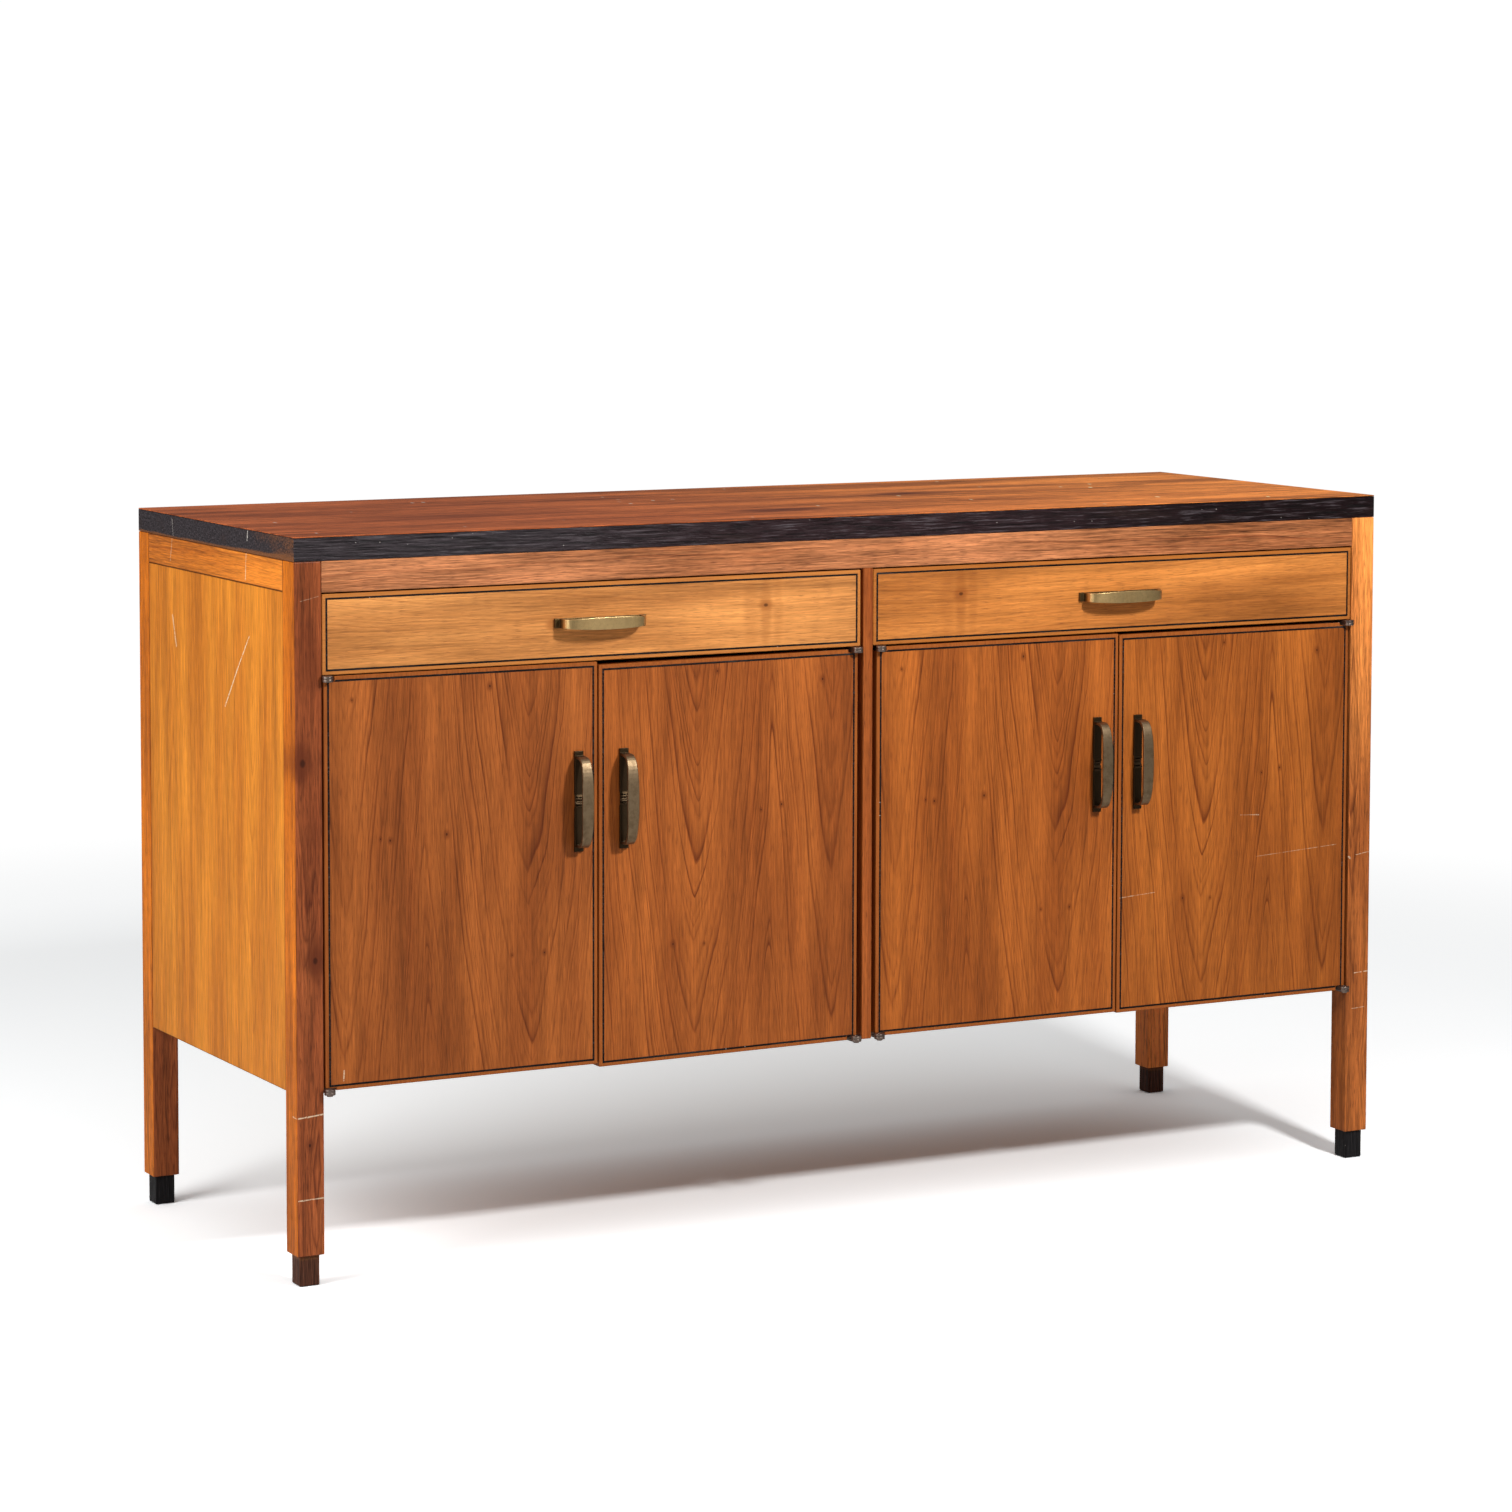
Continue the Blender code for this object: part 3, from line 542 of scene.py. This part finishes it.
def finish_side(side, seed, panel_marks=(), rail_marks=()):
    """A side's panel and the rail above it. Marks are (y, z) to (y, z) on the outer face."""
    low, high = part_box(f"{side}_side_panel")
    give(f"{side}_side_panel", wood(
        f"{side}_panel_walnut", "Z", "Y", origin=low, seed=seed,
        eyes=((0.10, 0.50, 0.050, 0.09), (0.36, 0.05, 0.060, 0.07)), rings=0.0045, ring_depth=0.40,
        warp=0.014, rough=0.42, streak=0.48, blotch=0.5, pitted=0.2, seam=(high.y - low.y, high.z - low.z),
        scratches=[((low.x, *start), (low.x, *end), *rest) for start, end, *rest in panel_marks], **GOLD))
    low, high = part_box(f"{side}_side_rail")
    give(f"{side}_side_rail", wood(
        f"{side}_rail_walnut", "Y", "Z", origin=low, seed=13.0, eyes=((-0.03, 0.2, 0.03, 0.03),),
        ring_depth=0.5, warp=0.02, rough=0.4, streak=0.6, blotch=1.2, pitted=0.3,
        seam=(high.z - low.z, high.y - low.y),
        scratches=[((low.x, *start), (low.x, *end), *rest) for start, end, *rest in rail_marks],
        **tint(GOLD, 1.08, 0.98, 1.15)))


def band_wear(g):
    """Stain lost on the left end, near the front corner and low down, and along the lower front edge."""
    x, y, z = g.split(g.place)
    left = g.step(x, -0.7540, -0.7549)
    toward_front = g.step(y, 0.05, -0.22)
    low_edge = g.step(z, 0.8505, 0.8440)
    patch = g.noise(g.place, (14, 14, 60), 2.0)
    worn_end = g.math("ADD", g.math("MULTIPLY", toward_front, 0.68), g.math("MULTIPLY", low_edge, 0.85))
    on_left = g.math("MULTIPLY", left, worn_end)
    arris = g.math("MULTIPLY", g.step(z, 0.8452, 0.8436), 0.45)
    right = g.math("MULTIPLY", g.step(x, 0.70, 0.755), 0.25)
    total = g.math("ADD", g.math("ADD", on_left, arris), right)
    return g.math("MULTIPLY", total, g.math("ADD", 0.5, patch))


def finish_top():
    """The veneered top with two clouded knots, its core and its ebonized edge band."""
    low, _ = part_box("top_veneer")
    # The shade below makes the top paler and more orange toward its right end: painted sheen and light.
    give("top_veneer", wood(
        "top_walnut", "X", "Y", origin=low, seed=17.0,
        eyes=((0.30, 0.98, 0.030, 0.14), (0.12, 0.70, 0.030, 0.12), (0.26, 0.25, 0.060, 0.04)),
        rings=0.0045, ring_depth=0.6, warp=0.02, rough=0.40, gloss=0.15,
        knots=((0.30, 0.98, 0.004), (0.12, 0.70, 0.003)),
        clouds=((0.30, 0.98, 0.034, 0.080, 0.75), (0.12, 0.70, 0.024, 0.075, 0.7),
                (0.36, 1.16, 0.030, 0.10, 0.5), (0.20, 0.25, 0.05, 0.12, 0.4)),
        shade=("X", -0.40, 0.80, (2.1, 2.75, 1.95)), streak=0.9, blotch=1.6, specks=0.14, **TOP))
    give("top_core", wood("core_walnut", "X", "Y", origin=low, seed=18.0, **INSIDE))
    # The band's colour is a pale bluish grey at the left end, darkening to brown-black toward the right:
    # the grey is painted sheen over the black stain.
    low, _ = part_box("top_edge_band")
    give("top_edge_band", ebonized(
        "ebonized_band", "X", "Z", low, worn=band_wear, base=(0.040, 0.031, 0.035),
        scratches=(((low.x, -0.098, 0.869), (low.x, -0.096, 0.858), 0.0016, 1.0),
                   ((low.x, 0.150, 0.866), (low.x, 0.146, 0.846), 0.0007, 0.7)),
        along=((-0.55, -0.15, (0.024, 0.010, 0.012)), (0.15, 0.55, (0.009, 0.0022, 0.0030)))))


def finish_feet():
    """Stained blocks. On two of them the black has gone to brown, most of all near the post."""
    for corner_name in CORNERS:
        low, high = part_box(f"{corner_name}_foot")
        brown = corner_name in ("front_left", "rear_right")

        def worn(g, top=high.z):
            return g.step(g.split(g.place)[2], top - 0.012, top)

        give(f"{corner_name}_foot", ebonized(
            f"{corner_name}_foot_stain", "Z", "X", low, worn=worn if brown else None,
            base=(0.110, 0.038, 0.020) if brown else (0.016, 0.014, 0.015)))


def finish_board(node, name, grain, across, tones, **look):
    """A plain board that needs no sizes or marks of its own."""
    give(node, wood(name, grain, across, origin=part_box(node)[0], **look, **tones))


def finish_brass():
    # Door and drawer pulls are one brass: the darker door copy is painted shade and the paler drawer copy
    # painted light.
    bows = {
        "door": brass("shaded_door_pull_brass", (0.250, 0.174, 0.100), (0.105, 0.066, 0.034), 0.47, 0.6, "Z",
                      STRAP_SHADE),
        "drawer": brass("lit_drawer_pull_brass", (0.640, 0.440, 0.195), (0.270, 0.165, 0.065), 0.40, 0.5, "X",
                        STRAP_SHADE),
    }
    leaf = brass("hinge_brass", (0.27, 0.205, 0.170), (0.055, 0.038, 0.040), 0.40, 0.8, "X")
    for node in NODES:
        if node.endswith("pull"):
            give(node, bows["drawer" if "drawer" in node else "door"])
        elif node.endswith("leaf"):
            give(node, leaf)


finish_doors()
finish_drawer("left", 3.1, (0.815, 0.60), DRAWER, (0.56, 0.20, 0.042), ((0.50, 0.415, 0.007, 0.010, 0.6),))
finish_drawer("right", 4.6, (0.175, 0.62), tint(DRAWER, 0.83, 0.71, 0.55), (0.46, 0.15, 0.026))
finish_posts()
finish_side("left", 11.0,
            (((-0.099, 0.745), (-0.062, 0.704), 0.0012, 1.0),
             ((-0.062, 0.704), (-0.021, 0.655), 0.0014, 1.0),
             ((0.152, 0.748), (0.140, 0.712), 0.0026, 0.6)),
            (((-0.092, 0.843), (-0.089, 0.811), 0.0009, 0.9),
             ((0.151, 0.842), (0.157, 0.815), 0.0007, 0.6)))
finish_side("right", 12.5)
finish_board("front_top_rail", "front_rail_walnut", "X", "Z", RAIL, seed=15.0,
             eyes=((-0.02, 0.5, 0.02, 0.02),), rings=0.0030, ring_depth=0.8, warp=0.02, rough=0.4,
             streak=0.9, blotch=1.6)
finish_board("centre_stile", "stile_walnut", "Z", "X", tint(FRAME_WOOD, 1.23, 1.20, 0.74), seed=16.0,
             eyes=((-0.04, 0.3, 0.02, 0.02),), rings=0.0034)
finish_top()
finish_feet()
for board in ("bottom_panel", "left_shelf", "right_shelf"):
    finish_board(board, f"{board}_walnut", "X", "Y", INSIDE, seed=20.0, ring_depth=0.5, rough=0.45)
finish_board("centre_partition", "partition_walnut", "Z", "Y", INSIDE, seed=21.0, ring_depth=0.5,
             rough=0.45)
for side in ("left", "right"):
    finish_board(f"{side}_drawer_deck", f"{side}_deck_maple", "X", "Y", MAPLE, seed=22.0, ring_depth=0.25,
                 rough=0.5)
finish_board("back_panel", "back_plywood", "X", "Z", PLY, seed=23.0,
             eyes=((0.2, 0.7, 0.05, 0.06), (0.5, 0.2, 0.05, 0.05)), rings=0.006, ring_depth=0.6, warp=0.03,
             rough=0.62, streak=0.25, pitted=0.3)
finish_brass()


# ---------------------------------------------------------------- added pieces

def link(name, mesh, material, body):
    """Put a mesh in the scene as a piece that rides on a body."""
    obj = bpy.data.objects.new(name, mesh)
    bpy.context.scene.collection.objects.link(obj)
    mesh.materials.append(material)
    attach(obj, body)
    return obj


def ring_mesh(name, pairs, front, back):
    """A flat closed ring. pairs are (outer, inner) points (x, z) going round it."""
    mesh = bpy.data.meshes.new(name)
    bm = bmesh.new()
    loops = []
    for outer, inner in pairs:
        loops.append([bm.verts.new((p[0], y, p[1])) for p in (outer, inner) for y in (front, back)])
    for here, there in zip(loops, loops[1:] + loops[:1]):
        outer_f, outer_b, inner_f, inner_b = here
        next_of, next_ob, next_if, next_ib = there
        bm.faces.new((outer_f, next_of, next_if, inner_f))
        bm.faces.new((outer_b, inner_b, next_ib, next_ob))
        bm.faces.new((outer_f, outer_b, next_ob, next_of))
        bm.faces.new((inner_f, next_if, next_ib, inner_b))
    bmesh.ops.recalc_face_normals(bm, faces=bm.faces)
    bm.to_mesh(mesh)
    bm.free()
    return mesh


string_black = ebonized("string_inlay", "X", "Z", (0, 0, 0), base=(0.0035, 0.0025, 0.0028))


def edge_heights(node, x):
    """The lowest and highest points of a front along its edge at x."""
    heights = [v.co.z for v in NODES[node].data.vertices if abs(v.co.x - x) < 0.0012]
    return min(heights), max(heights)


def add_string(node, body, hinge=None):
    """The thin black line let into a front, a little in from its edges. hinge is a door's hinged side."""
    low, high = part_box(node)
    left_low, left_high = edge_heights(node, low.x)
    right_low, right_high = edge_heights(node, high.x)
    # The notches hide the door's own corners on the hinged side.
    if hinge == "left":
        left_low, left_high = right_low, high.z
    if hinge == "right":
        right_low, right_high = low.z + (DOOR_2_SAG if node == "door_2" else 0.0), high.z
    x0, x1 = low.x, high.x

    def spot(inset, right, up):
        x = x1 - inset if right else x0 + inset
        share = (x - x0) / (x1 - x0)
        if up:
            z = left_high + (right_high - left_high) * share - inset
        else:
            z = left_low + (right_low - left_low) * share + inset
        return x, z

    pairs = []
    for right, up in ((False, False), (True, False), (True, True), (False, True)):
        outer, inner = spot(STRING_INSET, right, up), spot(STRING_INSET + STRING_WIDTH, right, up)
        at_hinge = hinge == ("right" if right else "left")
        limit = NOTCH_TOP if up else NOTCH_BOTTOM
        blocked = at_hinge and (outer[1] > limit if up else outer[1] < limit)
        if not blocked:
            pairs.append((outer, inner))
            continue
        inward = -1 if right else 1
        jog = (x1 if right else x0) + inward * NOTCH_REACH
        step_in = [((outer[0], limit), inner), ((jog, limit), (jog, inner[1])),
                   ((jog + inward * 0.0004, outer[1]), (jog + inward * 0.0004, inner[1]))]
        leaving = (right and up) or (not right and not up)
        pairs += step_in if leaving else step_in[::-1]
    mesh = ring_mesh(node + "_string", pairs, low.y - STRING_PROUD, low.y + STRING_DEEP)
    piece = link(node + "_string", mesh, string_black, body)
    return piece


add_string("left_drawer_front", "left_drawer")
add_string("right_drawer_front", "right_drawer")
for number in range(1, 5):
    add_string(f"door_{number}", f"door_{number}_leaf", "left" if number % 2 else "right")


def slab(name, outline, axes, place, thickness, material, body):
    """A flat piece: an outline on two axes about place, and a thickness centred on the third."""
    mesh = bpy.data.meshes.new(name)
    bm = bmesh.new()
    third = ({0, 1, 2} - {AXES[a] for a in axes}).pop()
    sides = []
    for offset in (-thickness / 2, thickness / 2):
        ring = []
        for u, v in outline:
            spot = Vector(place)
            spot[AXES[axes[0]]] += u
            spot[AXES[axes[1]]] += v
            spot[third] += offset
            ring.append(bm.verts.new(spot))
        sides.append(ring)
    count = len(outline)
    for step in range(count):
        after = (step + 1) % count
        bm.faces.new((sides[0][step], sides[0][after], sides[1][after], sides[1][step]))
    bm.faces.new(sides[0])
    bm.faces.new(sides[1])
    bmesh.ops.recalc_face_normals(bm, faces=bm.faces)
    bm.to_mesh(mesh)
    bm.free()
    return link(name, mesh, material, body)


def add_saddle(node, body, along):
    """The dark strip with a crease across it that lies behind the gap in a pull's strap. It fills the gap
    where the pull's shade falls, and its dark brass is painted shade.
    """
    low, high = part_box(node)
    middle = (low + high) / 2
    back = high.y - 0.0003
    half = [(-0.0078, 0.0), (-0.0078, -0.0014), (-0.0052, -0.0014), (-0.0040, -0.0032), (-0.0024, -0.0034)]
    outline = half + [(0.0, -0.0012)] + [(-u, v) for u, v in reversed(half)]
    slab(node + "_saddle", outline, along + "Y", (middle.x, back, middle.z), 0.0098, shaded_strap_brass, body)


# A dark copy of the pulls' brass for the saddles: painted shade in the gap behind the bow.
shaded_strap_brass = brass("shaded_strap_brass", (0.090, 0.058, 0.032), (0.030, 0.018, 0.010), 0.42, 0.6, "Z")
for side in ("left", "right"):
    add_saddle(f"{side}_drawer_pull", f"{side}_drawer", "X")
for number in range(1, 5):
    add_saddle(f"door_{number}_pull", f"door_{number}_leaf", "Z")


def add_head(name, place, facing, radius, height, material, body, shank=0.0):
    """A domed screw head or peg: place is the centre of its seat, facing the way it points."""
    profile = [(radius, -shank), (radius, height * 0.25), (radius * 0.86, height * 0.62),
               (radius * 0.55, height * 0.90), (radius * 0.18, height)]
    mesh = bpy.data.meshes.new(name)
    bm = bmesh.new()
    angles = [math.tau * k / HEAD_SIDES for k in range(HEAD_SIDES)]
    rings = [[bm.verts.new((r * math.cos(a), r * math.sin(a), h)) for a in angles] for r, h in profile]
    for lower, upper in zip(rings, rings[1:]):
        for k in range(HEAD_SIDES):
            after = (k + 1) % HEAD_SIDES
            bm.faces.new((lower[k], lower[after], upper[after], upper[k]))
    bm.faces.new(rings[0])
    bm.faces.new(rings[-1])
    bmesh.ops.recalc_face_normals(bm, faces=bm.faces)
    turn = Vector((0, 0, 1)).rotation_difference(Vector(facing)).to_matrix().to_4x4()
    bm.transform(Matrix.Translation(Vector(place)) @ turn)
    bm.to_mesh(mesh)
    bm.free()
    obj = link(name, mesh, material, body)
    sharpen(obj)
    return obj


def add_pull_screws(front, body, along, steel):
    """The two screw heads inside a front that hold its pull."""
    pull_low, pull_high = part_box(f"{front}_pull")
    panel = front + "_front" if "drawer" in front else front
    middle = (pull_low + pull_high) / 2
    middle.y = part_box(panel)[1].y
    for number, sign in enumerate((-1, 1), 1):
        place = middle.copy()
        place[AXES[along]] += sign * PULL_SCREW_REACH
        add_head(f"{front}_pull_screw_{number}", place, (0, 1, 0), 0.0038, 0.0022, steel, body)


def add_back_screws(steel):
    """Eight screws along the top and the bottom of the back panel, and three up each end."""
    low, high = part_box("back_panel")
    left, right = low.x + BACK_SCREW_INSET, high.x - BACK_SCREW_INSET
    bottom, top = low.z + BACK_SCREW_INSET, high.z - BACK_SCREW_INSET
    spots = [(left + (right - left) * k / 7, z) for k in range(8) for z in (bottom, top)]
    spots += [(x, low.z + (high.z - low.z) * k / 4) for k in (1, 2, 3) for x in (left, right)]
    for index, (x, z) in enumerate(spots, 1):
        add_head(f"back_screw_{index}", (x, high.y, z), (0, 1, 0), 0.0036, 0.0018, steel, "carcass")


def add_shelf_pegs(side, steel):
    low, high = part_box(f"{side}_shelf")
    places = [(x, y, facing) for x, facing in ((low.x - 0.001, 1), (high.x + 0.001, -1))
              for y in (low.y + 0.05, high.y - 0.05)]
    for index, (x, y, facing) in enumerate(places, 1):
        add_head(f"{side}_shelf_peg_{index}", (x, y, low.z - 0.0030), (facing, 0, 0), 0.0026, 0.008, steel,
                 "carcass")


def add_hardware():
    """Screw heads inside the fronts and on the back, and the pegs that the shelves rest on."""
    steel = brass("screw_steel", (0.34, 0.31, 0.27), (0.10, 0.07, 0.05), 0.42, 0.6, "Z")
    for side in ("left", "right"):
        add_pull_screws(f"{side}_drawer", f"{side}_drawer", "X", steel)
    for number in range(1, 5):
        add_pull_screws(f"door_{number}", f"door_{number}_leaf", "Z", steel)
    add_back_screws(steel)
    for side in ("left", "right"):
        add_shelf_pegs(side, steel)


add_hardware()


# ---------------------------------------------------------------- stage, light and camera

def aim(obj, target):
    obj.rotation_euler = (Vector(target) - obj.location).to_track_quat("-Z", "Y").to_euler()


def area_light(name, place, target, size, power, colour=(1, 1, 1)):
    data = bpy.data.lights.new(name, "AREA")
    data.shape = "RECTANGLE"
    data.size, data.size_y = size
    data.energy = power
    data.color = colour
    obj = bpy.data.objects.new(name, data)
    bpy.context.scene.collection.objects.link(obj)
    obj.location = place
    aim(obj, target)
    return obj


def add_floor():
    """A white floor that turns into the white of the backdrop away from the object."""
    mesh = bpy.data.meshes.new("floor")
    half = 30.0
    corners = [(-half, -half, 0), (half, -half, 0), (half, half, 0), (-half, half, 0)]
    mesh.from_pydata(corners, [], [(0, 1, 2, 3)])
    floor = bpy.data.objects.new("floor", mesh)
    floor.location.z = -0.0005
    bpy.context.scene.collection.objects.link(floor)
    g = Graph("studio_floor")
    g.shader.inputs["Base Color"].default_value = (0.50, 0.50, 0.50, 1)
    g.shader.inputs["Roughness"].default_value = 0.9
    g.shader.inputs["Specular IOR Level"].default_value = 0.0
    # Seen by the camera the paper is one even tone, overexposed as a product photographer's floor is, and
    # it goes over to the backdrop's white far from the object. The light that it throws back is plain grey.
    paper = g.add("ShaderNodeBsdfDiffuse")
    paper.inputs["Color"].default_value = (1.40, 1.42, 1.43, 1)
    glow = g.add("ShaderNodeEmission")
    glow.inputs["Color"].default_value = (1, 1, 1, 1)
    glow.inputs["Strength"].default_value = 1.02
    white = g.add("ShaderNodeMixShader")
    far = g.step(g.vector("LENGTH", g.vector("SUBTRACT", g.place, (0.0, 0.3, 0.0))), 1.5, 3.2)
    g.feed(white.inputs[0], far)
    g.tree.links.new(paper.outputs[0], white.inputs[1])
    g.tree.links.new(glow.outputs[0], white.inputs[2])
    blend = g.add("ShaderNodeMixShader")
    g.feed(blend.inputs[0], g.add("ShaderNodeLightPath").outputs["Is Camera Ray"])
    g.tree.links.new(g.shader.outputs[0], blend.inputs[1])
    g.tree.links.new(white.outputs[0], blend.inputs[2])
    output = next(n for n in g.tree.nodes if n.type == "OUTPUT_MATERIAL")
    g.tree.links.new(blend.outputs[0], output.inputs[0])
    mesh.materials.append(g.material)


def add_world(above=0.62, level=0.08):
    """A soft overhead sky that is dim near the horizon, and a white backdrop for the camera."""
    world = bpy.data.worlds.new("studio")
    bpy.context.scene.world = world
    world.use_nodes = True
    tree = world.node_tree
    tree.nodes.clear()
    output = tree.nodes.new("ShaderNodeOutputWorld")
    seen = tree.nodes.new("ShaderNodeBackground")
    lit = tree.nodes.new("ShaderNodeBackground")
    seen.inputs[0].default_value = (1, 1, 1, 1)
    seen.inputs[1].default_value = 1.02
    lit.inputs[0].default_value = (1, 1, 1, 1)
    place = tree.nodes.new("ShaderNodeTexCoord")
    parts = tree.nodes.new("ShaderNodeSeparateXYZ")
    height = tree.nodes.new("ShaderNodeMapRange")
    height.interpolation_type = "SMOOTHSTEP"
    for socket, value in zip(height.inputs, (0.0, 0.30, 0.75, level, above)):
        socket.default_value = value
    tree.links.new(place.outputs["Generated"], parts.inputs[0])
    tree.links.new(parts.outputs[2], height.inputs[0])
    tree.links.new(height.outputs[0], lit.inputs[1])
    path = tree.nodes.new("ShaderNodeLightPath")
    pick = tree.nodes.new("ShaderNodeMixShader")
    tree.links.new(path.outputs["Is Camera Ray"], pick.inputs[0])
    tree.links.new(lit.outputs[0], pick.inputs[1])
    tree.links.new(seen.outputs[0], pick.inputs[2])
    tree.links.new(pick.outputs[0], output.inputs[0])


def add_camera():
    """The camera at the angle that the object is shown from, its frame moved up by a small lens shift."""
    yaw, pitch, roll = CAMERA_YAW, CAMERA_PITCH, CAMERA_ROLL
    ahead = Vector((math.sin(yaw) * math.cos(pitch), math.cos(yaw) * math.cos(pitch), math.sin(pitch)))
    level = Vector((math.cos(yaw), -math.sin(yaw), 0))
    above = level.cross(ahead)
    right = level * math.cos(roll) + above * math.sin(roll)
    up = above * math.cos(roll) - level * math.sin(roll)
    data = bpy.data.cameras.new("camera")
    data.sensor_width = 36.0
    data.lens = CAMERA_LENS
    data.shift_y = CAMERA_SHIFT
    data.clip_end = 200.0
    camera = bpy.data.objects.new("camera", data)
    bpy.context.scene.collection.objects.link(camera)
    turn = Matrix((right, up, -ahead)).transposed().to_4x4()
    camera.matrix_world = Matrix.Translation(CAMERA_PLACE) @ turn
    bpy.context.scene.camera = camera


add_floor()
add_world()
area_light("key", (0.455, -2.09, 1.9), (0.0, -0.24, 0.5), (0.22, 0.22), 47)
area_light("left_softbox", (-2.6, -0.5, 1.5), (-0.7, 0.0, 0.5), (1.3, 1.6), 44)
add_camera()
view = bpy.context.scene.view_settings
view.view_transform = "Standard"
view.look = "None"
